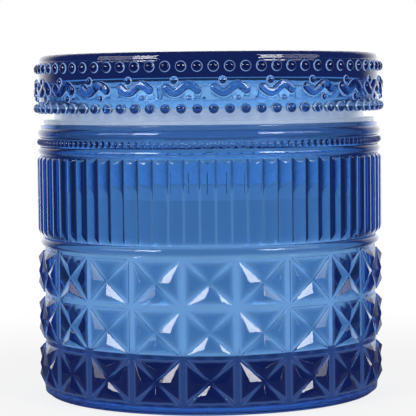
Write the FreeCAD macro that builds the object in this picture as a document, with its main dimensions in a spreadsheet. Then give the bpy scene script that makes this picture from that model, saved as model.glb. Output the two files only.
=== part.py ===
import FreeCAD, Part
import math
import os
import Sketcher

# Lidded canister of pressed glass with a poured candle inside, in millimetres.
# The origin is the centre of the foot's underside, and +Z is up along the jar's axis.
# Angles are measured from -Y, the side that faces the viewer, so that the star cells,
# the reeds and the lid's ornament keep their places around the axis.

DRIVING_SIZES = [
    # Pot: the reach of its outside, and how far each surface lies inside that
    ("jarRadius", 50.0, "crest of the reeds, tips of the stars"),
    ("footSetback", 2.4, "side of the foot"),
    ("coreSetback", 2.0, "wall behind the stars"),
    ("waistSetback", 1.6, "wall behind the waist ring and the reeds"),
    ("collarSetback", 0.75, "wall behind the rings at the mouth"),
    ("cavitySetback", 5.2, "inside of the pot"),
    ("recessSetback", 8.0, "hollow under the base"),
    # Pot: foot, cavity and rim
    ("footHeight", 1.0, "plain foot under the star band"),
    ("footBevel", 0.5, "bevel at the foot's lower edge"),
    ("footRecessDepth", 1.5, "depth of the hollow under the base"),
    ("cavityFloor", 14.1, "top of the thick base"),
    ("cavityCorner", 4.0, "rounding between floor and wall"),
    ("mouthBevel", 0.6, "bevel at the inner edge of the rim"),
    ("rimBevel", 0.4, "bevel at the outer edge of the rim"),
    # Pot: star band
    ("starNodeSetback", 1.3, "corners where eight grooves meet"),
    ("starCentreSetback", 0.6, "crossing in the middle of a cell"),
    ("starEdgeSetback", 1.5, "top and bottom edge of the band"),
    ("starBottomMargin", 1.45, "band edge to the lowest row of nodes"),
    ("starTopMargin", 0.3, "highest row of nodes to the band edge"),
    ("starRowPitch", 13.4, "height of a star cell"),
    ("starRows", 3, "rows of star cells"),
    ("starColumns", 21, "star cells around the jar"),
    ("starPhase", -0.38, "angle of the front cell's middle, degrees"),
    # Pot: waist ring between stars and reeds
    ("waistRingHeight", 2.55, "height of the waist ring"),
    ("waistRingReach", 1.1, "how far it stands out of the wall"),
    ("ringGap", 0.1, "flat groove between two rings"),
    # Pot: reeded band
    ("reedDepth", 1.15, "crest to valley"),
    ("reedCount", 72, "reeds around the jar"),
    ("reedPhase", 1.95, "angle of one valley from the front, degrees"),
    ("reedHeight", 23.35, "length of the reeds, sloped ends included"),
    ("reedFootSlope", 2.5, "height of the slope at the lower ends"),
    ("reedFootSetback", 1.3, "how far the lower ends fall back"),
    ("reedHeadSlope", 1.3, "height of the slope at the upper ends"),
    ("reedHeadSetback", 0.8, "how far the upper ends fall back"),
    # Pot: collar, from the reeds up
    ("collarReach", 0.75, "how far its rings stand out of the wall"),
    ("lowRingHeight", 2.6, "ring over the reeds"),
    ("pearlHeight", 2.2, "row of small beads"),
    ("highRingHeight", 2.8, "ring under the rim"),
    ("rimHeight", 1.25, "plain rim over the rings"),
    # Lid
    ("sealThickness", 0.95, "seal between rim and lid"),
    ("lidHeight", 18.65, "lid edge to the top face"),
    ("lidSetback", 0.4, "wall of the lid"),
    ("lidEdgeSetback", 1.5, "how far the lower edge falls back from the wall"),
    ("lidEdgeSlope", 1.9, "height of the slope at the lower edge"),
    ("lidRimSetback", 0.3, "how far the top rim lies inside the wall"),
    ("lidRimHeight", 2.1, "height of the top rim"),
    ("lidRimRounding", 1.5, "rounding of the top rim"),
    ("lidPlateThickness", 6.7, "solid glass at the top"),
    ("lidWallThickness", 4.4, "wall of the lid over its lower edge"),
    ("lidFootBevel", 0.4, "bevel at the inner edge of the lid's foot"),
    ("hollowDraft", 0.6, "how much narrower the hollow is at the top"),
    ("hollowCorner", 3.0, "rounding inside the hollow"),
    ("beadReach", 1.15, "how far the large beads stand out of the wall"),
    ("upperBeadHeight", 3.2, "upper row of large beads"),
    ("upperBeadGap", 0.3, "upper row of large beads to the top rim"),
    ("lowerBeadHeight", 2.9, "lower row of large beads"),
    # Seal
    ("sealFlangeSetback", 2.0, "outer edge of the flange"),
    ("sealFit", 0.3, "gap between the upper sleeve and the lid's wall"),
    ("sealUpperSleeve", 1.2, "thickness of the sleeve in the lid"),
    ("sealUpperHeight", 3.4, "sleeve above the lid's edge"),
    ("sealLowerSleeve", 1.0, "thickness of the sleeve in the mouth"),
    ("sealLowerDepth", 5.4, "sleeve below the rim"),
    ("sealFinGap", 0.3, "gap between the fins and the pot"),
    ("sealFinReach", 1.1, "how far a fin stands out of the sleeve"),
    ("sealFinHeight", 1.2, "height of a fin at its root"),
    ("sealFinPitch", 2.3, "distance between the fins"),
    # Candle
    ("waxLevel", 57.3, "fill line above the foot"),
    ("waxGap", 0.3, "shrinkage gap between wax and glass"),
    ("waxEdgeRise", 0.6, "how far the wax climbs at the wall"),
    ("waxEdgeWidth", 1.6, "width of the climbing edge"),
    ("wickRadius", 1.2, "braided wick"),
    ("wickStub", 6.0, "wick above the wax"),
    ("candleFit", 0.05, "gap around wick and sustainer"),
    ("tabRadius", 10.0, "disc of the sustainer"),
    ("tabThickness", 0.4, "sheet of the sustainer"),
    ("tabNeckHeight", 4.0, "neck that grips the wick"),
]


class Size:
    """A length with both its value and the spreadsheet formula that it comes from."""

    def __init__(self, value, formula):
        self.value = value
        self.formula = formula

    def __add__(self, other):
        return Size(self.value + other.value, f"({self.formula} + {other.formula})")

    def __sub__(self, other):
        return Size(self.value - other.value, f"({self.formula} - {other.formula})")

    def __mul__(self, other):
        if isinstance(other, Size):
            return Size(self.value * other.value, f"({self.formula} * {other.formula})")
        return Size(self.value * other, f"({self.formula} * {other})")

    def __truediv__(self, other):
        return Size(self.value / other.value, f"({self.formula} / {other.formula})")


ZERO = Size(0.0, "0")


def fill_sheet(doc):
    """Write the driving sizes into the spreadsheet and return them by name."""
    sheet = doc.addObject("Spreadsheet::Sheet", "sizes")
    named = {}
    for row, (alias, value, note) in enumerate(DRIVING_SIZES, start=1):
        sheet.set(f"A{row}", alias)
        sheet.set(f"B{row}", str(value))
        sheet.set(f"C{row}", note)
        sheet.setAlias(f"B{row}", alias)
        named[alias] = Size(value, f"sizes.{alias}")
    doc.recompute()
    return named


def origin_plane(body, role):
    for feature in body.Origin.OriginFeatures:
        if feature.Role == role:
            return feature
    raise ValueError(role)


class HalfRound:
    """A rounded ring on an upright wall: its lower end, its height and how far it stands out."""

    def __init__(self, wall_radius, bottom, height, reach):
        self.wall_radius = wall_radius
        self.bottom = bottom
        self.top = bottom + height
        self.middle = bottom + height * 0.5
        self.section = (height * height * 0.25 + reach * reach) / (reach * 2)
        self.crest_radius = wall_radius + reach

    def ends(self):
        return [FreeCAD.Vector(self.wall_radius.value, end.value, 0)
                for end in (self.bottom, self.top)]

    def arc(self):
        crest = FreeCAD.Vector(self.crest_radius.value, self.middle.value, 0)
        start, end = self.ends()
        return Part.Arc(start, crest, end)


def bind(sketch, kind, geometry, point, size):
    """Set a distance from the sketch's origin, or an arc's radius, to a size of the sheet."""
    if kind == "Radius":
        constraint = Sketcher.Constraint(kind, geometry, size.value)
    else:
        constraint = Sketcher.Constraint(kind, -1, 1, geometry, point, size.value)
    label = f"{kind}{geometry}_{point}"
    sketch.renameConstraint(sketch.addConstraint(constraint), label)
    if size is not ZERO:
        sketch.setExpression(f"Constraints.{label}", size.formula)


def turned(doc, name, outline):
    """A body of revolution. Its half section runs up the outside and back down the inside.

    The outline holds (radius, height) corners, and half-round rings on an upright wall.
    """
    body = doc.addObject("PartDesign::Body", name)
    sketch = body.newObject("Sketcher::SketchObject", name + "_section")
    sketch.AttachmentSupport = (origin_plane(body, "XZ_Plane"), [""])
    sketch.MapMode = "FlatFace"
    points = []
    arcs = {}
    fixed = {}
    for item in outline:
        if isinstance(item, HalfRound):
            arcs[len(points)] = item
            points += item.ends()
        else:
            fixed[len(points)] = item
            points.append(FreeCAD.Vector(item[0].value, item[1].value, 0))
    for index, start in enumerate(points):
        if index in arcs:
            sketch.addGeometry(arcs[index].arc(), False)
        else:
            end = points[(index + 1) % len(points)]
            sketch.addGeometry(Part.LineSegment(start, end), False)
    for index in range(len(points)):
        following = (index + 1) % len(points)
        sketch.addConstraint(Sketcher.Constraint("Coincident", index, 2, following, 1))
    for index, (radius, height) in fixed.items():
        bind(sketch, "DistanceX", index, 1, radius)
        bind(sketch, "DistanceY", index, 1, height)
    for index, half_round in arcs.items():
        bind(sketch, "Radius", index, 0, half_round.section)
        bind(sketch, "DistanceX", index, 1, half_round.wall_radius)
        bind(sketch, "DistanceY", index, 1, half_round.bottom)
        bind(sketch, "DistanceX", index, 2, half_round.wall_radius)
        bind(sketch, "DistanceY", index, 2, half_round.top)
    revolution = body.newObject("PartDesign::Revolution", name + "_turning")
    revolution.Profile = sketch
    revolution.ReferenceAxis = (sketch, ["V_Axis"])
    revolution.Angle = 360
    body.Tip = revolution
    doc.recompute()
    return body


def round_corners(doc, body, corners, rounding):
    """Round the circular edges of the body that run through these (radius, height) corners."""
    base = body.Tip
    chosen = []
    for number, edge in enumerate(base.Shape.Edges, start=1):
        if not isinstance(edge.Curve, Part.Circle):
            continue
        for radius, height in corners:
            same_radius = abs(edge.Curve.Radius - radius.value) < 1e-4
            same_height = abs(edge.Curve.Center.z - height.value) < 1e-4
            if same_radius and same_height:
                chosen.append(f"Edge{number}")
    fillet = body.newObject("PartDesign::Fillet", body.Name + "_rounding")
    fillet.Base = (base, chosen)
    fillet.setExpression("Radius", rounding.formula)
    body.Tip = fillet
    doc.recompute()


def fused(doc, name, pieces):
    fusion = doc.addObject("Part::MultiFuse", name)
    fusion.Shapes = pieces
    return fusion


def around(radius, angle, height):
    """The point at this radius and height, at an angle in radians from the front."""
    return FreeCAD.Vector(radius * math.sin(angle), -radius * math.cos(angle), height)


def closed_solid(faces):
    shell = Part.makeShell(faces)
    solid = Part.makeSolid(shell)
    solid.fixTolerance(1e-6)
    if solid.Volume < 0:
        solid.reverse()
    return solid


def flat_face(points):
    return Part.Face(Part.makePolygon(list(points) + [points[0]]))


def levels(size):
    """Heights that several pieces share, stacked up from the foot."""
    star_top = (size["footHeight"] + size["starBottomMargin"]
                + size["starRowPitch"] * size["starRows"] + size["starTopMargin"])
    gap = size["ringGap"]
    reed_bottom = star_top + gap + size["waistRingHeight"] + gap
    reed_top = reed_bottom + size["reedHeight"]
    rings = size["lowRingHeight"] + size["pearlHeight"] + size["highRingHeight"] + gap * 3
    rim = reed_top + rings + size["rimHeight"]
    seat = rim + size["sealThickness"]
    return {
        "star_top": star_top,
        "reed_bottom": reed_bottom,
        "reed_top": reed_top,
        "rim": rim,
        "seat": seat,
        "lid_top": seat + size["lidHeight"],
    }


def lid_inside(size):
    """Radius of the lid's hollow at its lower edge."""
    return size["jarRadius"] - size["lidSetback"] - size["lidWallThickness"]


def reeded_prism(size, bottom):
    """An upright bar whose outline is one convex arc per reed."""
    count = int(size["reedCount"].value)
    pitch = 2 * math.pi / count
    phase = math.radians(size["reedPhase"].value)
    crest = size["jarRadius"].value
    valley = crest - size["reedDepth"].value
    arcs = []
    for index in range(count):
        start = phase + index * pitch
        ends = [around(valley, start, bottom), around(valley, start + pitch, bottom)]
        middle = around(crest, start + pitch / 2, bottom)
        arcs.append(Part.Arc(ends[0], middle, ends[1]).toShape())
    outline = Part.Face(Part.Wire(arcs))
    return outline.extrude(FreeCAD.Vector(0, 0, size["reedHeight"].value))


def star_cell_faces(size, column, bottom):
    """The facets of one cell: four low pyramids around the crossing in its middle.

    Each pyramid has its tip at the incentre of its triangle, as V-shaped cuts of one depth
    leave it.
    """
    pitch = 2 * math.pi / int(size["starColumns"].value)
    height = size["starRowPitch"].value
    tip_radius = size["jarRadius"].value
    node_radius = tip_radius - size["starNodeSetback"].value
    centre_radius = tip_radius - size["starCentreSetback"].value
    width = pitch * node_radius
    middle_angle = math.radians(size["starPhase"].value) + column * pitch
    left = middle_angle - pitch / 2
    right = middle_angle + pitch / 2
    top = bottom + height
    middle = bottom + height / 2
    diagonal = math.hypot(width, height) / 2
    area = width * height / 4
    side_inset = area / (diagonal + height / 2)
    row_inset = area / (diagonal + width / 2)
    low_left = around(node_radius, left, bottom)
    low_right = around(node_radius, right, bottom)
    top_left = around(node_radius, left, top)
    top_right = around(node_radius, right, top)
    low_middle = around(node_radius, middle_angle, bottom)
    top_middle = around(node_radius, middle_angle, top)
    centre = around(centre_radius, middle_angle, middle)
    side_turn = side_inset / node_radius
    rims = [
        (around(tip_radius, middle_angle, bottom + row_inset), [low_left, low_middle, low_right]),
        (around(tip_radius, right - side_turn, middle), [low_right, top_right]),
        (around(tip_radius, middle_angle, top - row_inset), [top_right, top_middle, top_left]),
        (around(tip_radius, left + side_turn, middle), [top_left, low_left]),
    ]
    faces = []
    for tip, rim in rims:
        loop = rim + [centre]
        for index in range(len(loop)):
            faces.append(flat_face([loop[index], loop[(index + 1) % len(loop)], tip]))
    return faces


def star_band(size):
    """The faceted band as a solid drum: star cells between two plain edges."""
    columns = int(size["starColumns"].value)
    rows = int(size["starRows"].value)
    half_pitch = math.pi / columns
    turns = [math.radians(size["starPhase"].value) + step * half_pitch
             for step in range(2 * columns)]
    edge_radius = (size["jarRadius"] - size["starEdgeSetback"]).value
    node_radius = (size["jarRadius"] - size["starNodeSetback"]).value
    bottom = size["footHeight"].value
    first_row = bottom + size["starBottomMargin"].value
    last_row = first_row + rows * size["starRowPitch"].value
    top = last_row + size["starTopMargin"].value
    faces = []
    for row in range(rows):
        row_bottom = first_row + row * size["starRowPitch"].value
        for column in range(columns):
            faces.extend(star_cell_faces(size, column, row_bottom))
    for edge_height, node_height in ((bottom, first_row), (top, last_row)):
        edge = [around(edge_radius, turn, edge_height) for turn in turns]
        nodes = [around(node_radius, turn, node_height) for turn in turns]
        for step in range(2 * columns):
            following = (step + 1) % (2 * columns)
            faces.append(flat_face([edge[step], edge[following], nodes[following], nodes[step]]))
        faces.append(flat_face(edge))
    return closed_solid(faces)


def build_jar(doc, size, level):
    """The pot: a turned blank with its bands and rings, less the cavity and the foot's hollow."""
    reach = size["jarRadius"]
    foot = reach - size["footSetback"]
    core = reach - size["coreSetback"]
    waist = reach - size["waistSetback"]
    collar = reach - size["collarSetback"]
    gap = size["ringGap"]
    waist_ring = HalfRound(waist, level["star_top"] + gap, size["waistRingHeight"],
                           size["waistRingReach"])
    low_ring = HalfRound(collar, level["reed_top"] + gap, size["lowRingHeight"],
                         size["collarReach"])
    pearls = HalfRound(collar, low_ring.top + gap, size["pearlHeight"], size["collarReach"])
    high_ring = HalfRound(collar, pearls.top + gap, size["highRingHeight"],
                          size["collarReach"])
    rim = level["rim"]
    blank = turned(doc, "jar_blank", [
        (ZERO, ZERO),
        (foot - size["footBevel"], ZERO),
        (foot, size["footBevel"]),
        (foot, size["footHeight"]),
        (core, size["footHeight"]),
        (core, level["star_top"]),
        (waist, level["star_top"]),
        waist_ring,
        (waist, level["reed_top"]),
        (collar, level["reed_top"]),
        low_ring,
        pearls,
        high_ring,
        (collar, rim - size["rimBevel"]),
        (collar - size["rimBevel"], rim),
        (ZERO, rim),
    ])

    stars = doc.addObject("Part::Feature", "star_band")
    stars.Shape = star_band(size)

    prism = doc.addObject("Part::Feature", "reeded_prism")
    prism.Shape = reeded_prism(size, level["reed_bottom"].value)
    envelope = turned(doc, "reed_envelope", [
        (ZERO, level["reed_bottom"]),
        (reach - size["reedFootSetback"], level["reed_bottom"]),
        (reach, level["reed_bottom"] + size["reedFootSlope"]),
        (reach, level["reed_top"] - size["reedHeadSlope"]),
        (reach - size["reedHeadSetback"], level["reed_top"]),
        (ZERO, level["reed_top"]),
    ])
    reeds = doc.addObject("Part::Common", "reeded_band")
    reeds.Base = prism
    reeds.Tool = envelope

    outside = fused(doc, "jar_outside", [blank, stars, reeds])

    inside = reach - size["cavitySetback"]
    bevel = size["mouthBevel"]
    cavity = turned(doc, "jar_cavity", [
        (ZERO, size["cavityFloor"]),
        (inside, size["cavityFloor"]),
        (inside, rim - bevel),
        (inside + bevel * 2, rim + bevel),
        (ZERO, rim + bevel),
    ])
    round_corners(doc, cavity, [(inside, size["cavityFloor"])], size["cavityCorner"])
    recess = doc.addObject("Part::Cylinder", "foot_recess")
    recess.setExpression("Radius", (reach - size["recessSetback"]).formula)
    recess.setExpression("Height", size["footRecessDepth"].formula)
    hollows = fused(doc, "jar_hollows", [cavity, recess])
    jar = doc.addObject("Part::Cut", "jar")
    jar.Base = outside
    jar.Tool = hollows
    jar.Label = "jar_body"
    return jar


def build_lid(doc, size, level):
    """The lid: an upturned dish with a thick plate, standing on the seal."""
    seat = level["seat"]
    top = level["lid_top"]
    wall = size["jarRadius"] - size["lidSetback"]
    edge = wall - size["lidEdgeSetback"]
    rim_radius = wall - size["lidRimSetback"]
    rim_foot = top - size["lidRimHeight"]
    slope_top = seat + size["lidEdgeSlope"]
    inside = lid_inside(size)
    bevel = size["lidFootBevel"]
    hollow_top = top - size["lidPlateThickness"]
    hollow_radius = inside - size["hollowDraft"]
    lower_beads = HalfRound(wall, slope_top + size["ringGap"], size["lowerBeadHeight"],
                            size["beadReach"])
    upper_beads = HalfRound(wall, rim_foot - size["upperBeadGap"] - size["upperBeadHeight"],
                            size["upperBeadHeight"], size["beadReach"])
    blank = turned(doc, "lid_blank", [
        (ZERO, hollow_top),
        (hollow_radius, hollow_top),
        (inside, seat + bevel),
        (inside + bevel, seat),
        (edge, seat),
        (wall, slope_top),
        lower_beads,
        upper_beads,
        (wall, rim_foot),
        (rim_radius, rim_foot),
        (rim_radius, top),
        (ZERO, top),
    ])
    round_corners(doc, blank, [(rim_radius, top)], size["lidRimRounding"])
    round_corners(doc, blank, [(hollow_radius, hollow_top)], size["hollowCorner"])
    blank.Label = "lid"
    return blank


def build_seal(doc, size, level):
    """The clear seal: a flange on the rim, with a sleeve up in the lid and one in the mouth."""
    rim = level["rim"]
    seat = level["seat"]
    flange = size["jarRadius"] - size["sealFlangeSetback"]
    upper_outside = lid_inside(size) - size["sealFit"]
    upper_inside = upper_outside - size["sealUpperSleeve"]
    upper_top = seat + size["sealUpperHeight"]
    fin_tip = size["jarRadius"] - size["cavitySetback"] - size["sealFinGap"]
    lower_outside = fin_tip - size["sealFinReach"]
    lower_inside = lower_outside - size["sealLowerSleeve"]
    bottom = rim - size["sealLowerDepth"]
    low_fin = bottom + size["sealFinHeight"] * 0.5
    high_fin = low_fin + size["sealFinPitch"]
    corners = [
        (lower_inside, bottom),
        (lower_outside, bottom),
    ]
    for root in (low_fin, high_fin):
        corners += [
            (lower_outside, root),
            (fin_tip, root + size["sealFinHeight"] * 0.6),
            (fin_tip, root + size["sealFinHeight"] * 0.8),
            (lower_outside, root + size["sealFinHeight"]),
        ]
    corners += [
        (lower_outside, rim),
        (flange, rim),
        (flange, seat),
        (upper_outside, seat),
        (upper_outside, upper_top),
        (upper_inside, upper_top),
        (upper_inside, seat),
        (lower_inside, seat),
    ]
    seal = turned(doc, "seal", corners)
    seal.Label = "lid_seal"
    return seal


def build_candle(doc, size):
    """The wax fill, its wick and the metal tab that holds the wick on the pot's floor."""
    floor = size["cavityFloor"]
    fit = size["candleFit"]
    wick_hole = size["wickRadius"] + fit
    neck_radius = wick_hole + size["tabThickness"]
    tab_top = floor + size["tabThickness"]
    neck_top = tab_top + size["tabNeckHeight"]
    wax_radius = size["jarRadius"] - size["cavitySetback"] - size["waxGap"]
    level = size["waxLevel"]
    tab = turned(doc, "tab", [
        (wick_hole, floor),
        (size["tabRadius"], floor),
        (size["tabRadius"], tab_top),
        (neck_radius, tab_top),
        (neck_radius, neck_top),
        (wick_hole, neck_top),
    ])
    tab.Label = "wick_sustainer"
    wax = turned(doc, "wax", [
        (size["tabRadius"] + fit, floor),
        (wax_radius, floor),
        (wax_radius, level + size["waxEdgeRise"]),
        (wax_radius - size["waxEdgeWidth"], level),
        (wick_hole, level),
        (wick_hole, neck_top + fit),
        (neck_radius + fit, neck_top + fit),
        (neck_radius + fit, tab_top + fit),
        (size["tabRadius"] + fit, tab_top + fit),
    ])
    round_corners(doc, wax, [(wax_radius, floor)], size["cavityCorner"])
    wax.Label = "candle_wax"
    wick = doc.addObject("Part::Cylinder", "wick")
    wick.setExpression("Radius", size["wickRadius"].formula)
    wick.setExpression("Height", (level + size["wickStub"] - floor).formula)
    wick.setExpression("Placement.Base.z", floor.formula)
    wick.Label = "candle_wick"
    return [wax, wick, tab]


def check(doc, pieces):
    """Stop if any object failed or any piece isn't one sound closed solid."""
    for item in doc.Objects:
        if "Invalid" in item.State or "Error" in item.State:
            raise RuntimeError(f"{item.Name} failed: {item.State}")
    for piece in pieces:
        shape = piece.Shape
        if shape.isNull() or not shape.isValid() or len(shape.Solids) != 1:
            raise RuntimeError(f"{piece.Label} is not one valid solid")


def main():
    doc = FreeCAD.newDocument("glass_canister")
    size = fill_sheet(doc)
    level = levels(size)
    pieces = [build_jar(doc, size, level)]
    pieces += build_candle(doc, size)
    pieces += [build_seal(doc, size, level), build_lid(doc, size, level)]
    doc.recompute()
    check(doc, pieces)
    os.makedirs("parts", exist_ok=True)
    for piece in pieces:
        piece.Shape.exportStep(f"parts/{piece.Label}.step")
        box = piece.Shape.BoundBox
        print(piece.Label, round(piece.Shape.Volume, 1), "mm3, z", round(box.ZMin, 3),
              "to", round(box.ZMax, 3), "width", round(box.XLength, 3))


main()
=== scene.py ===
import math
import bmesh
import bpy
import numpy as np
from mathutils import Matrix, Vector


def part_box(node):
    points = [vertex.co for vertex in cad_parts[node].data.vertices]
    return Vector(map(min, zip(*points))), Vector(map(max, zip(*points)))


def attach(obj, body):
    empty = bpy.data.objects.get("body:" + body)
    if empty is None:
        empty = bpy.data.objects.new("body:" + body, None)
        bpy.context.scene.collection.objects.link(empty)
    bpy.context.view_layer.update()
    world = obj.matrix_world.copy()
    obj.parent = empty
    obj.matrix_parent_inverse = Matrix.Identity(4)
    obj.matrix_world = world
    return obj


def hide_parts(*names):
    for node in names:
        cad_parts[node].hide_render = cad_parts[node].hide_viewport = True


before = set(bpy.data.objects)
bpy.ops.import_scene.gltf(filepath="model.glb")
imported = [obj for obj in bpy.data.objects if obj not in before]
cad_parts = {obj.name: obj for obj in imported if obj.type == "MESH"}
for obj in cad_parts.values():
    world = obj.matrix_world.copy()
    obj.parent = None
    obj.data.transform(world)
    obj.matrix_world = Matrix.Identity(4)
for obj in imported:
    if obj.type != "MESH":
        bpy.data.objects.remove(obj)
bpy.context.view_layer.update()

# Lengths are millimetres down to the lid's ornament, and meshes are scaled to metres as they
# are made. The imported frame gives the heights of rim, seat, lid top and floor; the other sizes
# are the pressed ornament's own.
MM = 0.001
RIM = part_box("jar_body")[1].z / MM
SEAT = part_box("lid_seal")[1].z / MM
LID_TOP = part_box("lid")[1].z / MM
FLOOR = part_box("candle_wax")[0].z / MM
CREST = 50.0
SMOOTH_STEPS = 360

# Pot: its foot with a shallow well under it, and its inside
WELL_DEPTH = 1.5
WELL_RADIUS = 40.4
FOOT_INSIDE, FOOT_OUTSIDE = 42.4, 47.0
FOOT_ROUNDING = 0.6
WALL_INSIDE = 44.8
WALL_HEIGHTS = (66.0, 50.0, 30.0)
FLOOR_FILLET = 4.0
RIM_ROUNDING_OUTSIDE, RIM_ROUNDING_INSIDE = 0.45, 0.6
CAP_RADIUS = 20.0

# Star band: the groove floors rise from the nodes to the middle of each cell
STAR_COLUMNS = 21
STAR_ROWS = 3
STAR_PHASE = math.radians(-0.38)
STAR_PITCH = 13.4
STAR_FOOT = 1.0
STAR_FIRST_ROW = 2.45
STAR_TOP = 42.95
NODE_RADIUS = 48.6
CENTRE_RADIUS = 49.25
TIP_RADIUS = 50.1
STAR_EDGE_RADIUS = 48.5
COLUMN_GROOVE = 1.3
ROW_GROOVE = 1.2
DIAGONAL_GROOVE = 0.6
GROOVE_RISE_POWER = 1.2
STEP_RUN, STEP_RISE = 0.08, 0.2
RIDGE_ROUNDING = 0.16
TIP_ROUNDING = 1.6 * RIDGE_ROUNDING
RIDGE_MOST_OF_EDGE = 0.3

# Waist ring between the stars and the reeds
WAIST_RADIUS = 48.4
WAIST_RING_BOTTOM = STAR_TOP + 0.1
WAIST_RING_HEIGHT = 2.55
WAIST_RING_REACH = 1.1

# Reeded band
REED_COUNT = 72
REED_PHASE = math.radians(1.95)
REED_BOTTOM = 45.7
REED_TOP = 69.05
REED_DEPTH = 1.35
REED_ROUNDNESS = 0.97
REED_FOOT_HEIGHT, REED_FOOT_SETBACK, REED_FOOT_POWER = 2.6, 1.35, 1.8
REED_HEAD_HEIGHT, REED_HEAD_SETBACK, REED_HEAD_POWER = 1.35, 0.85, 2
REED_FOOT_STEPS, REED_HEAD_STEPS = 16, 14
REED_MIDDLE_HEIGHTS = [52.0, 57.0, 62.0]
REED_END_BLEND = 0.12
REED_SAMPLES = (-0.5, -0.48, -0.46, -0.42, -0.36, -0.28, -0.19, -0.1, 0.0, 0.1, 0.19, 0.28,
                0.36, 0.42, 0.46, 0.48)

# Collar: a ring, a row of small beads and a broad ring under the plain rim
COLLAR_RADIUS = 49.25
COLLAR_REACH = 0.75
LOW_RING_BOTTOM, LOW_RING_HEIGHT = 69.15, 2.6
HIGH_RING_BOTTOM, HIGH_RING_HEIGHT = 74.15, 2.8
PEARL_COUNT = 150
PEARL_RADIUS = 1.0
PEARL_HEIGHT = 72.95
PEARL_BAND = 0.9

# Lid: a hollow dish with a thick top plate
LID_WALL = 49.6
LID_INSIDE = 45.2
LID_PLATE = 6.7
HOLLOW_ROUNDING = 3.0
HOLLOW_DRAFT = 0.6
SEAT_OUTSIDE = 47.7
SEAT_ROUNDING = 0.4
EDGE_ROUNDING = 1.5
STEP_ROUNDING = 0.25

# Lid ornament: two rows of large beads, with a wave and two dots 24 times round between them
BEAD_COUNT = 72
BEAD_PHASE = math.radians(1.55)
UPPER_BEAD_RADIUS, UPPER_BEAD_TIP, UPPER_BEAD_HEIGHT = 1.66, 50.6, 93.8
LOWER_BEAD_RADIUS, LOWER_BEAD_TIP, LOWER_BEAD_HEIGHT = 1.47, 50.8, 82.6
WAVE_COUNT = 24
WAVE_PHASE = math.radians(6.75)
WAVE_HEIGHT = 87.9
WAVE_HALF_LENGTH = 4.25
WAVE_SWING = 1.05
WAVE_LENGTH = 7.7
WAVE_HALF_WIDTH = 1.2
WAVE_REACH = 1.1
WAVE_SHOULDER = 0.55
UPPER_DOT_RADIUS, UPPER_DOT_HEIGHT, UPPER_DOT_PHASE = 1.25, 90.05, math.radians(4.4)
LOWER_DOT_RADIUS, LOWER_DOT_HEIGHT, LOWER_DOT_PHASE = 1.1, 85.35, math.radians(9.05)
DOT_TIP = 50.4

# Glass: light lost per metre is the density times what the tint lacks of white, and the glow
# is painted light, standing for light scattered in the glass. Between the two relief radii, in
# millimetres, the surface turns to its deep tint: painted shade on the raised ornament. The groove
# and foot lights are painted highlights, stops of that same way out: how far along, and the
# colour given off there.
GLASS_TINT = (0.25, 0.56, 0.79)
GLASS_DENSITY = 270.0
GLASS_IOR = 1.51
GLASS_RIPPLE = 0.12
# Painted shade: the deep tints darken the surface colour of the raised ornament.
POT_RELIEF = (48.5, 49.6)
POT_PAINTED_SHADE_TINT = (0.26, 0.45, 0.72)
LID_RELIEF = (49.62, 50.5)
LID_PAINTED_SHADE_TINT = (0.16, 0.28, 0.55)
# Painted highlights: colour given off round the groove floors and the foot of the ornament.
POT_GROOVE_PAINTED_LIGHT = ((0.09, (0.01, 0.03, 0.09)), (0.32, (0.03, 0.06, 0.13)),
                    (0.42, (0.03, 0.06, 0.13)), (0.6, (0, 0, 0)))
LID_FOOT_PAINTED_LIGHT = ((0.06, (0.22, 0.36, 0.62)), (0.26, (0.22, 0.36, 0.62)), (0.4, (0, 0, 0)))
# Painted light: the glass gives off a glow of its own, standing for light scattered in it.
GLASS_PAINTED_GLOW = (0.2, 0.33, 1.0)
GLASS_PAINTED_GLOW_LEVEL = 5.0

# Painted light: the wax and the seal give off a glow, standing for light that reaches them
# through the glass
WAX_PAINTED_GLOW, WAX_PAINTED_GLOW_LEVEL = (0.38, 0.62, 0.85), 0.5
SEAL_PAINTED_GLOW, SEAL_PAINTED_GLOW_LEVEL = (0.5, 0.66, 0.95), 0.05

# Studio and camera, in metres and degrees. The paper stands where a direction's part along Y
# passes from its edge to full. Each softbox is a turn to either side, a width and watts.
PAPER_LEVEL = 1.7
PAPER_EDGE, PAPER_FULL = 0.5, 0.92
ROOM_LEVEL = 0.06
FLOOR_TONE = 0.88
FLOOR_FADE_START, FLOOR_FADE_END, FLOOR_FADE_LEAST = 0.06, 0.22, 0.82
FLOOR_HALF_SIZE = 3.0
FLOOR_DROP = 0.0002
SOFTBOX_AIM = (0, 0, 0.05)
SOFTBOX_LIFT = math.radians(20.0)
SOFTBOX_DISTANCE = 1.2
SOFTBOX_HIGH = 0.5
SOFTBOXES = ((42.0, 0.33, 6.2), (64.0, 0.55, 2.4))
CAMERA_PLACE = (0.0, -0.5471, 0.08794)
CAMERA_LENS = 162.36
CAMERA_PITCH = math.radians(90 - 3.656)
CAMERA_ROLL = math.radians(-0.609)
CAMERA_YAW = math.radians(0.051)


def mesh_object(name, points, faces, slot_material):
    mesh = bpy.data.meshes.new(name)
    mesh.from_pydata(points, [], faces)
    mesh.validate()
    obj = bpy.data.objects.new(name, mesh)
    bpy.context.scene.collection.objects.link(obj)
    mesh.materials.append(slot_material)
    return obj


def polar(radius, angle, height):
    """A point at an angle from the side that faces the camera, in metres."""
    return (radius * math.sin(angle) * MM, -radius * math.cos(angle) * MM, height * MM)


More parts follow.
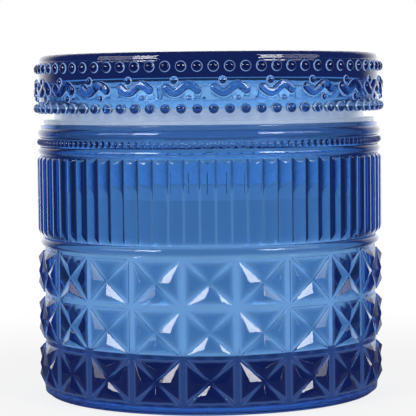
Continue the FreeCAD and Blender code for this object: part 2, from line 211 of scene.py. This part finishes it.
class Skin:
    """One closed surface, grown ring by ring along a half section."""

    def __init__(self):
        self.points = []
        self.faces = []
        self.last = None

    def point(self, radius, angle, height):
        self.points.append(polar(radius, angle, height))
        return len(self.points) - 1

    def ring(self, radius, height, angles=None):
        """Add a ring and join it to the one before. radius may be a function of the angle."""
        if angles is None:
            angles = [2 * math.pi * step / SMOOTH_STEPS for step in range(SMOOTH_STEPS)]
        get = radius if callable(radius) else (lambda angle: radius)
        ring = [(angle, self.point(get(angle), angle, height)) for angle in angles]
        self.join(ring)

    def join(self, ring):
        if self.last is not None:
            self.stitch(self.last, ring)
        self.last = ring

    def pole(self, height):
        """Close the surface on the axis, or start it there."""
        centre = self.point(0.0, 0.0, height)
        if self.last is None:
            self.last = centre
            return
        indices = [index for _, index in self.last]
        for step, index in enumerate(indices):
            self.faces.append((index, indices[(step + 1) % len(indices)], centre))

    def stitch(self, low, high):
        if isinstance(low, int):
            indices = [index for _, index in high]
            for step, index in enumerate(indices):
                self.faces.append((low, indices[(step + 1) % len(indices)], index))
            return
        if len(low) == len(high) and abs(low[0][0] - high[0][0]) < 1e-6:
            for step in range(len(low)):
                after = (step + 1) % len(low)
                self.faces.append((low[step][1], low[after][1], high[after][1], high[step][1]))
            return
        i = j = 0
        turn = 2 * math.pi
        while i < len(low) or j < len(high):
            next_low = low[(i + 1) % len(low)][0] + turn * ((i + 1) // len(low))
            next_high = high[(j + 1) % len(high)][0] + turn * ((j + 1) // len(high))
            low_index = low[i % len(low)][1]
            high_index = high[j % len(high)][1]
            if j >= len(high) or (i < len(low) and next_low <= next_high):
                self.faces.append((low_index, low[(i + 1) % len(low)][1], high_index))
                i += 1
            else:
                self.faces.append((low_index, high[(j + 1) % len(high)][1], high_index))
                j += 1

    def arc(self, centre_radius, centre_height, radius, start, end, steps):
        """Rings along an arc of the half section. Angles in degrees, 0 outwards, 90 up."""
        for step in range(steps + 1):
            angle = math.radians(start + (end - start) * step / steps)
            self.ring(centre_radius + radius * math.cos(angle),
                      centre_height + radius * math.sin(angle))

    def half_round(self, bottom, height, reach, wall, steps=14):
        """A rounded ring that stands out of an upright wall."""
        radius = (height * height / 4 + reach * reach) / (2 * reach)
        spread = math.degrees(math.asin(height / 2 / radius))
        self.arc(wall + reach - radius, bottom + height / 2, radius, -spread, spread, steps)

    def object(self, name, material):
        return mesh_object(name, self.points, self.faces, material)


def reed_share(place):
    """How far out a reed's flattened back lies at a place across it, from 1 on its crest."""
    return math.sqrt(1 - REED_ROUNDNESS * (2 * place) ** 2)


def soft_min(a, b, blend):
    """The smaller of two numbers, with a smooth change-over."""
    share = max(blend - abs(a - b), 0) / blend
    return min(a, b) - share * share * blend / 4


def reed_rings(skin):
    """The reeded band: reeds with rounded backs whose ends run down into the plain wall."""
    pitch = 2 * math.pi / REED_COUNT
    angles = []
    shares = {}
    for reed in range(REED_COUNT):
        for place in REED_SAMPLES:
            angle = REED_PHASE + (reed + 0.5 + place) * pitch
            angles.append(angle)
            shares[angle] = reed_share(place)
    heights = [REED_BOTTOM + REED_FOOT_HEIGHT * step / REED_FOOT_STEPS
               for step in range(REED_FOOT_STEPS + 1)]
    heights += REED_MIDDLE_HEIGHTS
    heights += [REED_TOP - REED_HEAD_HEIGHT * (1 - step / REED_HEAD_STEPS)
                for step in range(REED_HEAD_STEPS + 1)]
    for height in heights:
        low = min((height - REED_BOTTOM) / REED_FOOT_HEIGHT, 1)
        high = min((REED_TOP - height) / REED_HEAD_HEIGHT, 1)
        foot_setback = REED_FOOT_SETBACK * (1 - low) ** REED_FOOT_POWER
        head_setback = REED_HEAD_SETBACK * (1 - high) ** REED_HEAD_POWER
        limit = CREST - foot_setback - head_setback

        def radius(angle):
            reed = CREST - REED_DEPTH * (1 - shares[angle])
            return soft_min(reed, limit, REED_END_BLEND) if limit < CREST else reed

        skin.ring(radius, height, angles)


def inset_triangle(corners, margins):
    """Shrink a flat triangle: margins[k] is the inset of the side from corner k to k + 1."""
    points = [np.array(corner, float) for corner in corners]
    lines = []
    for k in range(3):
        start, end = points[k], points[(k + 1) % 3]
        along = (end - start) / np.linalg.norm(end - start)
        inward = np.array([-along[1], along[0]])
        if np.dot(points[(k + 2) % 3] - start, inward) < 0:
            inward = -inward
        lines.append((start + inward * margins[k], along))
    result = []
    for k in range(3):
        (p, u), (q, v) = lines[k - 1], lines[k]
        scale = np.linalg.solve(np.array([u, -v]).T, q - p)
        result.append(p + u * scale[0])
    sides = [np.linalg.norm(result[(k + 2) % 3] - result[(k + 1) % 3]) for k in range(3)]
    tip = sum(side * point for side, point in zip(sides, result)) / sum(sides)
    return result, tip


def rounded_pyramid(skin, base, tip):
    """Facets from a base loop up to a tip, with a narrow strip along every ridge."""
    def toward(a, b):
        start, end = Vector(skin.points[a]), Vector(skin.points[b])
        length = (end - start).length
        return start + (end - start) * min(RIDGE_ROUNDING * MM / length, RIDGE_MOST_OF_EDGE)

    def mark(place):
        skin.points.append(tuple(place))
        return len(skin.points) - 1

    count = len(base)
    facets = []
    for k in range(count):
        left, right = base[k], base[(k + 1) % count]
        middle = (Vector(skin.points[left]) + Vector(skin.points[right])) / 2
        head = Vector(skin.points[tip])
        share = TIP_ROUNDING * MM / (middle - head).length
        facets.append((mark(toward(left, right)), mark(toward(right, left)),
                       mark(head + (middle - head) * share)))
    for k in range(count):
        before, here = facets[k - 1], facets[k]
        skin.faces.append(here)
        skin.faces.append((before[1], base[k], here[0]))
        skin.faces.append((before[1], here[0], here[2], before[2]))
    skin.points[tip] = tuple(sum((Vector(skin.points[part[2]]) for part in facets), Vector())
                             / count)
    for k in range(count):
        skin.faces.append((facets[k - 1][2], facets[k][2], tip))
    return facets


def star_rings(skin):
    """The star band: each cell has four low pyramids between V-shaped grooves."""
    pitch = 2 * math.pi / STAR_COLUMNS
    half_w, half_h = pitch * NODE_RADIUS / 2, STAR_PITCH / 2

    def groove_radius(x, z):
        """Radius of the groove floor, largest in the middle of the cell."""
        off = max(abs(x) / half_w, abs(z) / half_h)
        return CENTRE_RADIUS + (NODE_RADIUS - CENTRE_RADIUS) * off ** GROOVE_RISE_POWER

    corners = [(-half_w, -half_h), (half_w, -half_h), (half_w, half_h), (-half_w, half_h)]
    side_groove = [ROW_GROOVE / 2, COLUMN_GROOVE / 2, ROW_GROOVE / 2, COLUMN_GROOVE / 2]
    leg = DIAGONAL_GROOVE / 2
    cell = {}
    for row in range(STAR_ROWS):
        middle_z = STAR_FIRST_ROW + STAR_PITCH * (row + 0.5)
        for column in range(STAR_COLUMNS):
            middle_angle = STAR_PHASE + column * pitch

            def place(x, z, radius):
                return skin.point(radius, middle_angle + x / NODE_RADIUS, middle_z + z)

            inner = []
            for side in range(4):
                start, end = corners[side], corners[(side + 1) % 4]
                loops = []
                for run, rise in ((0, 0), (STEP_RUN, STEP_RISE)):
                    margins = [side_groove[side] + run, leg + run, leg + run]
                    shape, tip = inset_triangle([start, end, (0, 0)], margins)
                    loop = [place(x, z, groove_radius(x, z) + rise) for x, z in shape]
                    if side in (0, 2):
                        mid_x = (shape[0][0] + shape[1][0]) / 2
                        loop.insert(1, place(mid_x, shape[0][1], groove_radius(0, half_h) + rise))
                    loops.append(loop)
                tip_mark = place(tip[0], tip[1], TIP_RADIUS)
                base, top = loops
                facets = rounded_pyramid(skin, top, tip_mark)
                for k, facet in enumerate(facets):
                    after = (k + 1) % len(base)
                    skin.faces.append((base[k], base[after], top[after], facet[1], facet[0],
                                       top[k]))
                inner.append({"outer": base[:-1], "centre": base[-1]})
            for side in range(4):
                before = inner[side - 1]
                here = inner[side]
                skin.faces.append((before["outer"][-1], here["outer"][0], here["centre"],
                                   before["centre"]))
            skin.faces.append(tuple(part["centre"] for part in inner))
            cell[row, column] = inner

    for row in range(STAR_ROWS):
        for column in range(STAR_COLUMNS):
            here = cell[row, column][1]["outer"]
            beside = cell[row, (column + 1) % STAR_COLUMNS][3]["outer"]
            skin.faces.append((here[0], beside[1], beside[0], here[1]))
    for row in range(STAR_ROWS - 1):
        for column in range(STAR_COLUMNS):
            low = cell[row, column][2]["outer"][::-1]
            high = cell[row + 1, column][0]["outer"]
            for k in range(2):
                skin.faces.append((low[k], low[k + 1], high[k + 1], high[k]))
            after = (column + 1) % STAR_COLUMNS
            node = [
                low[2], cell[row, column][1]["outer"][1], cell[row, after][3]["outer"][0],
                cell[row, after][2]["outer"][-1], cell[row + 1, after][0]["outer"][0],
                cell[row + 1, after][3]["outer"][-1], cell[row + 1, column][1]["outer"][0],
                high[2],
            ]
            hub = skin.point(NODE_RADIUS, STAR_PHASE + (column + 0.5) * pitch,
                             STAR_FIRST_ROW + STAR_PITCH * (row + 1))
            for k, mark in enumerate(node):
                skin.faces.append((mark, node[(k + 1) % len(node)], hub))

    def edge_loop(row, side):
        """The free edge under the first row (side 0) or over the last one (side 2)."""
        loop = []
        for column in range(STAR_COLUMNS):
            after = (column + 1) % STAR_COLUMNS
            outer = cell[row, column][side]["outer"]
            own = outer if side == 0 else outer[::-1]
            right = cell[row, column][1]["outer"][0 if side == 0 else 1]
            left = cell[row, after][3]["outer"][1 if side == 0 else 0]
            loop += own + [right, left]
        marked = []
        for index in loop:
            x, y, _ = skin.points[index]
            marked.append([math.atan2(x, -y), index])
        for k in range(1, len(marked)):
            while marked[k][0] < marked[k - 1][0] - 1e-9:
                marked[k][0] += 2 * math.pi
        return [(angle, index) for angle, index in marked]

    lower = edge_loop(0, 0)
    start = lower[0][0]
    angles = [start + 2 * math.pi * step / SMOOTH_STEPS for step in range(SMOOTH_STEPS)]
    skin.ring(STAR_EDGE_RADIUS, STAR_FOOT, angles)
    skin.ring(STAR_EDGE_RADIUS + 0.1, STAR_FIRST_ROW - ROW_GROOVE / 2, angles)
    skin.stitch(skin.last, lower)
    skin.last = edge_loop(STAR_ROWS - 1, 2)
    skin.ring(STAR_EDGE_RADIUS, STAR_TOP, angles)


def sphere(radius, centre, across, around, squash=1.0):
    """A closed ball whose poles point along `across`, as points and faces in millimetres."""
    axis = Vector(across).normalized()
    side = axis.cross(Vector((0, 0, 1))).normalized()
    up = side.cross(axis)
    points = []
    faces = []
    rings = around // 2
    for ring in range(rings + 1):
        lift = math.pi * ring / rings
        for step in range(1 if ring in (0, rings) else around):
            turn = 2 * math.pi * step / around
            offset = (axis * math.cos(lift) * squash
                      + (side * math.cos(turn) + up * math.sin(turn)) * math.sin(lift))
            points.append(Vector(centre) + offset * radius)
    for step in range(around):
        after = (step + 1) % around
        faces.append((0, 1 + step, 1 + after))
        last = len(points) - 1
        base = 1 + (rings - 2) * around
        faces.append((last, base + after, base + step))
        for ring in range(rings - 2):
            a = 1 + ring * around
            b = a + around
            faces.append((a + step, b + step, b + after, a + after))
    return points, faces


def bead_row(count, radius, tip_radius, height, phase, around):
    """A row of round beads round the jar, as one list of points and faces."""
    points = []
    faces = []
    for step in range(count):
        angle = phase + 2 * math.pi * step / count
        outward = Vector((math.sin(angle), -math.cos(angle), 0))
        centre = outward * (tip_radius - radius) + Vector((0, 0, height))
        ball, ball_faces = sphere(radius, centre, outward, around)
        faces += [tuple(index + len(points) for index in face) for face in ball_faces]
        points += ball
    return [tuple(point * MM) for point in points], faces


def merged(*sets):
    points = []
    faces = []
    for more_points, more_faces in sets:
        faces += [tuple(index + len(points) for index in face) for face in more_faces]
        points += more_points
    return points, faces


def outward_normals(obj):
    mesh = bmesh.new()
    mesh.from_mesh(obj.data)
    bmesh.ops.recalc_face_normals(mesh, faces=mesh.faces)
    mesh.to_mesh(obj.data)
    mesh.free()


def unite(base, extra):
    """Join the closed bodies of `extra` to the closed body `base`, as one surface."""
    for obj in (base, extra):
        outward_normals(obj)
    modifier = base.modifiers.new("unite", "BOOLEAN")
    modifier.operation = "UNION"
    modifier.solver = "MANIFOLD"
    modifier.object = extra
    apply_modifiers(base)
    bpy.data.objects.remove(extra)


def apply_modifiers(obj):
    depsgraph = bpy.context.evaluated_depsgraph_get()
    result = bpy.data.meshes.new_from_object(obj.evaluated_get(depsgraph), depsgraph=depsgraph)
    obj.modifiers.clear()
    obj.data = result


def smooth(obj, sharp_degrees=30, weighted=False):
    obj.data.shade_smooth()
    obj.data.set_sharp_from_angle(angle=math.radians(sharp_degrees))
    if weighted:
        modifier = obj.modifiers.new("flat_facets", "WEIGHTED_NORMAL")
        modifier.keep_sharp = True
        modifier.weight = 50
        apply_modifiers(obj)


def pot_mesh(material):
    """The glass pot: up the outside from the well under the foot, and down the inside."""
    skin = Skin()
    skin.pole(WELL_DEPTH)
    skin.ring(CAP_RADIUS, WELL_DEPTH)
    skin.ring(WELL_RADIUS, WELL_DEPTH)
    skin.arc(WELL_RADIUS, 0.0, WELL_DEPTH, 90, 8, 8)
    skin.ring(FOOT_INSIDE, 0.0)
    skin.ring(FOOT_OUTSIDE, 0.0)
    skin.arc(FOOT_OUTSIDE, FOOT_ROUNDING, FOOT_ROUNDING, -90, 0, 6)
    skin.ring(FOOT_OUTSIDE + FOOT_ROUNDING, STAR_FOOT - 0.1)
    star_rings(skin)
    skin.ring(WAIST_RADIUS, STAR_TOP + 0.02)
    skin.half_round(WAIST_RING_BOTTOM, WAIST_RING_HEIGHT, WAIST_RING_REACH, WAIST_RADIUS, 18)
    reed_rings(skin)
    skin.ring(COLLAR_RADIUS - 0.03, REED_TOP + 0.05)
    skin.half_round(LOW_RING_BOTTOM, LOW_RING_HEIGHT, COLLAR_REACH, COLLAR_RADIUS, 16)
    skin.ring(COLLAR_RADIUS, PEARL_HEIGHT - PEARL_BAND)
    skin.ring(COLLAR_RADIUS, PEARL_HEIGHT + PEARL_BAND)
    skin.half_round(HIGH_RING_BOTTOM, HIGH_RING_HEIGHT, COLLAR_REACH + 0.05, COLLAR_RADIUS, 18)
    skin.arc(COLLAR_RADIUS - RIM_ROUNDING_OUTSIDE, RIM - RIM_ROUNDING_OUTSIDE,
             RIM_ROUNDING_OUTSIDE, 0, 90, 6)
    skin.ring(WALL_INSIDE + RIM_ROUNDING_INSIDE, RIM)
    skin.arc(WALL_INSIDE + RIM_ROUNDING_INSIDE, RIM - RIM_ROUNDING_INSIDE,
             RIM_ROUNDING_INSIDE, 90, 180, 6)
    for height in WALL_HEIGHTS:
        skin.ring(WALL_INSIDE, height)
    skin.arc(WALL_INSIDE - FLOOR_FILLET, FLOOR + FLOOR_FILLET, FLOOR_FILLET, 0, -90, 14)
    skin.ring(CAP_RADIUS, FLOOR)
    skin.pole(FLOOR)
    pot = skin.object("pot_glass", material)
    pearls = bead_row(PEARL_COUNT, PEARL_RADIUS, CREST - 0.05, PEARL_HEIGHT, 0.0, 20)
    unite(pot, mesh_object("pearls", *pearls, material))
    smooth(pot, weighted=True)
    return pot


def rounded(share):
    """A cosine or sine with squarer shoulders, for a bar with a flattened top."""
    return math.copysign(abs(share) ** WAVE_SHOULDER, share)


def wave_bar(middle_angle, steps=26, cap_steps=6, sides=16):
    """One S-shaped bar of the lid's ornament, with a flattened top and rounded ends."""
    def centre_line(x):
        return Vector((x, WAVE_SWING * math.sin(2 * math.pi * x / WAVE_LENGTH)))

    def direction(x):
        slope = 2 * math.pi / WAVE_LENGTH * math.cos(2 * math.pi * x / WAVE_LENGTH)
        return Vector((1, WAVE_SWING * slope)).normalized()

    sections = []
    for step in range(1, cap_steps):
        turn = math.pi / 2 * step / cap_steps
        along = direction(-WAVE_HALF_LENGTH)
        place = centre_line(-WAVE_HALF_LENGTH) - along * WAVE_HALF_WIDTH * math.cos(turn)
        sections.append((place, along, math.sin(turn)))
    for step in range(steps + 1):
        x = WAVE_HALF_LENGTH * (2 * step / steps - 1)
        sections.append((centre_line(x), direction(x), 1.0))
    for step in range(cap_steps - 1, 0, -1):
        turn = math.pi / 2 * step / cap_steps
        along = direction(WAVE_HALF_LENGTH)
        place = centre_line(WAVE_HALF_LENGTH) + along * WAVE_HALF_WIDTH * math.cos(turn)
        sections.append((place, along, math.sin(turn)))

    points = []
    for place, along, scale in sections:
        across = Vector((-along.y, along.x))
        for side in range(sides):
            turn = 2 * math.pi * side / sides
            spot = place + across * WAVE_HALF_WIDTH * scale * rounded(math.cos(turn))
            lift = WAVE_REACH * scale * rounded(math.sin(turn))
            points.append(polar(LID_WALL + lift, middle_angle + spot.x / CREST,
                                WAVE_HEIGHT + spot.y))
    faces = []
    for step in range(len(sections) - 1):
        for side in range(sides):
            after = (side + 1) % sides
            a, b = step * sides, (step + 1) * sides
            faces.append((a + side, b + side, b + after, a + after))
    faces.append(tuple(range(sides)))
    last = (len(sections) - 1) * sides
    faces.append(tuple(last + side for side in reversed(range(sides))))
    return points, faces


def lid_mesh(material):
    """The glass lid: down the inside of its hollow, round the seat and up the outside."""
    hollow_top = LID_TOP - LID_PLATE
    skin = Skin()
    skin.pole(hollow_top)
    skin.ring(CAP_RADIUS, hollow_top)
    skin.arc(LID_INSIDE - HOLLOW_DRAFT - HOLLOW_ROUNDING, hollow_top - HOLLOW_ROUNDING,
             HOLLOW_ROUNDING, 90, 2, 12)
    skin.ring(LID_INSIDE - HOLLOW_DRAFT / 2, SEAT + 6.0)
    skin.arc(LID_INSIDE + SEAT_ROUNDING, SEAT + SEAT_ROUNDING, SEAT_ROUNDING, 180, 270, 5)
    skin.ring(SEAT_OUTSIDE, SEAT)
    skin.arc(SEAT_OUTSIDE, SEAT + SEAT_ROUNDING, SEAT_ROUNDING, -90, -20, 5)
    skin.ring(49.2, SEAT + 1.7)
    skin.ring(49.52, SEAT + 2.1)
    skin.ring(LID_WALL, SEAT + 2.5)
    skin.ring(LID_WALL, SEAT + 8.0)
    skin.ring(LID_WALL, SEAT + 12.0)
    skin.ring(LID_WALL, LID_TOP - 2.35)
    skin.arc(LID_WALL - STEP_ROUNDING, LID_TOP - 2.35, STEP_ROUNDING, 0, 80, 4)
    skin.ring(49.3, LID_TOP - 1.9)
    skin.arc(49.3 - EDGE_ROUNDING, LID_TOP - EDGE_ROUNDING, EDGE_ROUNDING, 0, 90, 16)
    skin.ring(CAP_RADIUS, LID_TOP)
    skin.pole(LID_TOP)
    lid = skin.object("lid_glass", material)
    ornament = [
        bead_row(BEAD_COUNT, UPPER_BEAD_RADIUS, UPPER_BEAD_TIP, UPPER_BEAD_HEIGHT, BEAD_PHASE, 24),
        bead_row(BEAD_COUNT, LOWER_BEAD_RADIUS, LOWER_BEAD_TIP, LOWER_BEAD_HEIGHT, BEAD_PHASE, 24),
        bead_row(WAVE_COUNT, UPPER_DOT_RADIUS, DOT_TIP, UPPER_DOT_HEIGHT, UPPER_DOT_PHASE, 20),
        bead_row(WAVE_COUNT, LOWER_DOT_RADIUS, DOT_TIP, LOWER_DOT_HEIGHT, LOWER_DOT_PHASE, 20),
    ]
    ornament += [wave_bar(WAVE_PHASE + 2 * math.pi * step / WAVE_COUNT)
                 for step in range(WAVE_COUNT)]
    unite(lid, mesh_object("ornament", *merged(*ornament), material))
    smooth(lid)
    return lid


def principled(name):
    material = bpy.data.materials.new(name)
    material.use_nodes = True
    tree = material.node_tree
    return material, tree, tree.nodes["Principled BSDF"]


def link(tree, source, output, target, socket):
    tree.links.new(source.outputs[output], target.inputs[socket])


def noise_bump(tree, shader, scale, detail, strength, depth_mm):
    """A bump from procedural noise in the object's own space."""
    places = tree.nodes.new("ShaderNodeTexCoord")
    noise = tree.nodes.new("ShaderNodeTexNoise")
    noise.inputs["Scale"].default_value = scale
    noise.inputs["Detail"].default_value = detail
    link(tree, places, "Object", noise, "Vector")
    bump = tree.nodes.new("ShaderNodeBump")
    bump.inputs["Strength"].default_value = strength
    bump.inputs["Distance"].default_value = depth_mm * MM
    link(tree, noise, "Fac", bump, "Height")
    link(tree, bump, "Normal", shader, "Normal")
    return noise


def glass(name, relief, painted_shade_tint, painted_foot_light):
    """Tinted pressed glass: painted shade on the raised ornament, painted highlight round its
    foot.
    """
    material, tree, shader = principled(name)
    places = tree.nodes.new("ShaderNodeTexCoord")
    flat = tree.nodes.new("ShaderNodeVectorMath")
    flat.operation = "MULTIPLY"
    flat.inputs[1].default_value = (1, 1, 0)
    link(tree, places, "Object", flat, 0)
    radius = tree.nodes.new("ShaderNodeVectorMath")
    radius.operation = "LENGTH"
    link(tree, flat, "Vector", radius, 0)
    height = tree.nodes.new("ShaderNodeMapRange")
    height.inputs["From Min"].default_value = relief[0] * MM
    height.inputs["From Max"].default_value = relief[1] * MM
    link(tree, radius, "Value", height, "Value")
    # Painted shade: the surface colour turns to the deep tint as the radius rises onto the
    # ornament.
    colour = tree.nodes.new("ShaderNodeValToRGB")
    colour.color_ramp.elements[0].color = (1, 1, 1, 1)
    colour.color_ramp.elements[1].color = (*painted_shade_tint, 1)
    link(tree, height, "Result", colour, "Fac")
    link(tree, colour, "Color", shader, "Base Color")
    # Painted highlight: colour given off by radius, round the foot of the ornament.
    foot = tree.nodes.new("ShaderNodeValToRGB")
    foot.color_ramp.elements[0].color = (0, 0, 0, 1)
    foot.color_ramp.elements[1].color = (0, 0, 0, 1)
    for position, light in painted_foot_light:
        foot.color_ramp.elements.new(position).color = (*light, 1)
    link(tree, height, "Result", foot, "Fac")
    link(tree, foot, "Color", shader, "Emission Color")
    shader.inputs["Emission Strength"].default_value = 1.0
    shader.inputs["Roughness"].default_value = 0.0
    shader.inputs["IOR"].default_value = GLASS_IOR
    shader.inputs["Transmission Weight"].default_value = 1.0
    noise_bump(tree, shader, 90.0, 1.0, GLASS_RIPPLE, 0.4)
    volume = tree.nodes.new("ShaderNodeVolumeAbsorption")
    volume.inputs["Color"].default_value = (*GLASS_TINT, 1)
    volume.inputs["Density"].default_value = GLASS_DENSITY
    # Painted light: a glow given off through the glass's volume.
    painted_glow = tree.nodes.new("ShaderNodeEmission")
    painted_glow.inputs["Color"].default_value = (*GLASS_PAINTED_GLOW, 1)
    painted_glow.inputs["Strength"].default_value = GLASS_PAINTED_GLOW_LEVEL
    both = tree.nodes.new("ShaderNodeAddShader")
    link(tree, volume, "Volume", both, 0)
    link(tree, painted_glow, "Emission", both, 1)
    link(tree, both, "Shader", tree.nodes["Material Output"], "Volume")
    return material


def mottled(tree, shader, noise, low, high):
    """Colour that drifts softly between two tones with the noise."""
    ramp = tree.nodes.new("ShaderNodeValToRGB")
    ramp.color_ramp.elements[0].position = 0.35
    ramp.color_ramp.elements[0].color = (*low, 1)
    ramp.color_ramp.elements[1].position = 0.65
    ramp.color_ramp.elements[1].color = (*high, 1)
    link(tree, noise, "Fac", ramp, "Fac")
    link(tree, ramp, "Color", shader, "Base Color")


def wax_material():
    material, tree, shader = principled("poured_wax")
    shader.inputs["Roughness"].default_value = 0.42
    shader.inputs["Subsurface Weight"].default_value = 0.3
    shader.inputs["Subsurface Scale"].default_value = 0.004
    # Painted light: the wax gives off a glow of its own.
    shader.inputs["Emission Color"].default_value = (*WAX_PAINTED_GLOW, 1)
    shader.inputs["Emission Strength"].default_value = WAX_PAINTED_GLOW_LEVEL
    noise = noise_bump(tree, shader, 60.0, 3.0, 0.2, 0.5)
    mottled(tree, shader, noise, (0.84, 0.83, 0.78), (0.9, 0.89, 0.85))
    return material


def wick_material():
    material, tree, shader = principled("braided_cotton")
    shader.inputs["Roughness"].default_value = 0.85
    noise = noise_bump(tree, shader, 1400.0, 2.0, 0.8, 0.3)
    mottled(tree, shader, noise, (0.72, 0.7, 0.62), (0.9, 0.88, 0.82))
    return material


def tinplate_material():
    material, tree, shader = principled("stamped_tinplate")
    shader.inputs["Metallic"].default_value = 1.0
    shader.inputs["Roughness"].default_value = 0.35
    noise = noise_bump(tree, shader, 700.0, 4.0, 0.25, 0.05)
    mottled(tree, shader, noise, (0.66, 0.66, 0.68), (0.78, 0.78, 0.8))
    return material


def silicone_material():
    material, tree, shader = principled("clear_silicone")
    shader.inputs["Roughness"].default_value = 0.28
    shader.inputs["IOR"].default_value = 1.42
    shader.inputs["Transmission Weight"].default_value = 0.75
    noise = noise_bump(tree, shader, 500.0, 2.0, 0.2, 0.05)
    mottled(tree, shader, noise, (0.76, 0.82, 0.92), (0.84, 0.89, 0.96))
    # Painted light: the seal gives off a faint glow of its own.
    shader.inputs["Emission Color"].default_value = (*SEAL_PAINTED_GLOW, 1)
    shader.inputs["Emission Strength"].default_value = SEAL_PAINTED_GLOW_LEVEL
    return material


def dress(node, material):
    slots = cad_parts[node].data.materials
    slots.clear()
    slots.append(material)


def paper_ramp(tree, direction, output):
    """How bright a direction is: dim in the room, and white where the paper stands."""
    parts = tree.nodes.new("ShaderNodeSeparateXYZ")
    link(tree, direction, output, parts, "Vector")
    ramp = tree.nodes.new("ShaderNodeMapRange")
    ramp.interpolation_type = "SMOOTHSTEP"
    ramp.inputs["From Min"].default_value = PAPER_EDGE
    ramp.inputs["From Max"].default_value = PAPER_FULL
    ramp.inputs["To Min"].default_value = ROOM_LEVEL
    ramp.inputs["To Max"].default_value = PAPER_LEVEL
    link(tree, parts, "Y", ramp, "Value")
    return ramp


def studio_world():
    """White paper behind the jar, a dim room in front of it and at its sides."""
    world = bpy.data.worlds.new("studio")
    bpy.context.scene.world = world
    world.use_nodes = True
    tree = world.node_tree
    tree.nodes.clear()
    places = tree.nodes.new("ShaderNodeTexCoord")
    ramp = paper_ramp(tree, places, "Generated")
    room = tree.nodes.new("ShaderNodeBackground")
    link(tree, ramp, "Result", room, "Strength")
    paper = tree.nodes.new("ShaderNodeBackground")
    path = tree.nodes.new("ShaderNodeLightPath")
    mix = tree.nodes.new("ShaderNodeMixShader")
    output = tree.nodes.new("ShaderNodeOutputWorld")
    for background in (room, paper):
        background.inputs["Color"].default_value = (1, 1, 1, 1)
    link(tree, path, "Is Camera Ray", mix, "Fac")
    link(tree, room, "Background", mix, 1)
    link(tree, paper, "Background", mix, 2)
    link(tree, mix, "Shader", output, "Surface")


def paper_floor():
    """A pale table top that takes the shadow and turns to plain white further away."""
    material, tree, shader = principled("paper")
    shader.inputs["Base Color"].default_value = (FLOOR_TONE, FLOOR_TONE, FLOOR_TONE, 1)
    shader.inputs["Roughness"].default_value = 0.9
    places = tree.nodes.new("ShaderNodeTexCoord")
    distance = tree.nodes.new("ShaderNodeVectorMath")
    distance.operation = "LENGTH"
    link(tree, places, "Object", distance, 0)
    fade = tree.nodes.new("ShaderNodeMapRange")
    fade.interpolation_type = "SMOOTHSTEP"
    fade.inputs["From Min"].default_value = FLOOR_FADE_START
    fade.inputs["From Max"].default_value = FLOOR_FADE_END
    fade.inputs["To Min"].default_value = FLOOR_FADE_LEAST
    link(tree, distance, "Value", fade, "Value")
    unit = tree.nodes.new("ShaderNodeVectorMath")
    unit.operation = "NORMALIZE"
    link(tree, places, "Object", unit, 0)
    ramp = paper_ramp(tree, unit, "Vector")
    path = tree.nodes.new("ShaderNodeLightPath")
    level = tree.nodes.new("ShaderNodeMapRange")
    link(tree, ramp, "Result", level, "To Min")
    level.inputs["To Max"].default_value = 1.0
    link(tree, path, "Is Camera Ray", level, "Value")
    white = tree.nodes.new("ShaderNodeEmission")
    link(tree, level, "Result", white, "Strength")
    mix = tree.nodes.new("ShaderNodeMixShader")
    link(tree, fade, "Result", mix, "Fac")
    link(tree, shader, "BSDF", mix, 1)
    link(tree, white, "Emission", mix, 2)
    link(tree, mix, "Shader", tree.nodes["Material Output"], "Surface")
    size = FLOOR_HALF_SIZE
    floor = mesh_object("floor", [(-size, -size, 0), (size, -size, 0), (size, size, 0),
                                  (-size, size, 0)], [(0, 1, 2, 3)], material)
    floor.location.z = -FLOOR_DROP


def softbox(place, wide, power):
    data = bpy.data.lights.new("softbox", "AREA")
    data.shape = "RECTANGLE"
    data.size = wide
    data.size_y = SOFTBOX_HIGH
    data.energy = power
    lamp = bpy.data.objects.new("softbox", data)
    bpy.context.scene.collection.objects.link(lamp)
    lamp.location = place
    aim = Vector(SOFTBOX_AIM) - Vector(place)
    lamp.rotation_euler = aim.to_track_quat("-Z", "Y").to_euler()


def lamps():
    """Two soft lamps on either side of the camera, a little above the jar."""
    flat = SOFTBOX_DISTANCE * math.cos(SOFTBOX_LIFT)
    height = SOFTBOX_AIM[2] + SOFTBOX_DISTANCE * math.sin(SOFTBOX_LIFT)
    for side in (-1, 1):
        for degrees, wide, power in SOFTBOXES:
            turn = math.radians(side * degrees)
            softbox((flat * math.sin(turn), -flat * math.cos(turn), height), wide, power)


def camera():
    data = bpy.data.cameras.new("camera")
    data.sensor_width = 36.0
    data.lens = CAMERA_LENS
    obj = bpy.data.objects.new("camera", data)
    bpy.context.scene.collection.objects.link(obj)
    turn = Matrix.Rotation(CAMERA_YAW, 4, "Z") @ Matrix.Rotation(CAMERA_PITCH, 4, "X")
    obj.matrix_world = (Matrix.Translation(CAMERA_PLACE) @ turn
                        @ Matrix.Rotation(CAMERA_ROLL, 4, "Z"))
    bpy.context.scene.camera = obj


def main():
    bpy.context.scene.view_settings.view_transform = "Standard"
    pot_glass = glass("cobalt_pot", POT_RELIEF, POT_PAINTED_SHADE_TINT, POT_GROOVE_PAINTED_LIGHT)
    lid_glass = glass("cobalt_lid", LID_RELIEF, LID_PAINTED_SHADE_TINT, LID_FOOT_PAINTED_LIGHT)
    for part, body, node, slot in (
            (pot_mesh(pot_glass), "jar", "jar_body", "pot_glass"),
            (lid_mesh(lid_glass), "lid", "lid", "lid_glass")):
        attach(part, body)
        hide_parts(node)
    dress("candle_wax", wax_material())
    dress("candle_wick", wick_material())
    dress("wick_sustainer", tinplate_material())
    dress("lid_seal", silicone_material())
    studio_world()
    paper_floor()
    lamps()
    camera()


main()
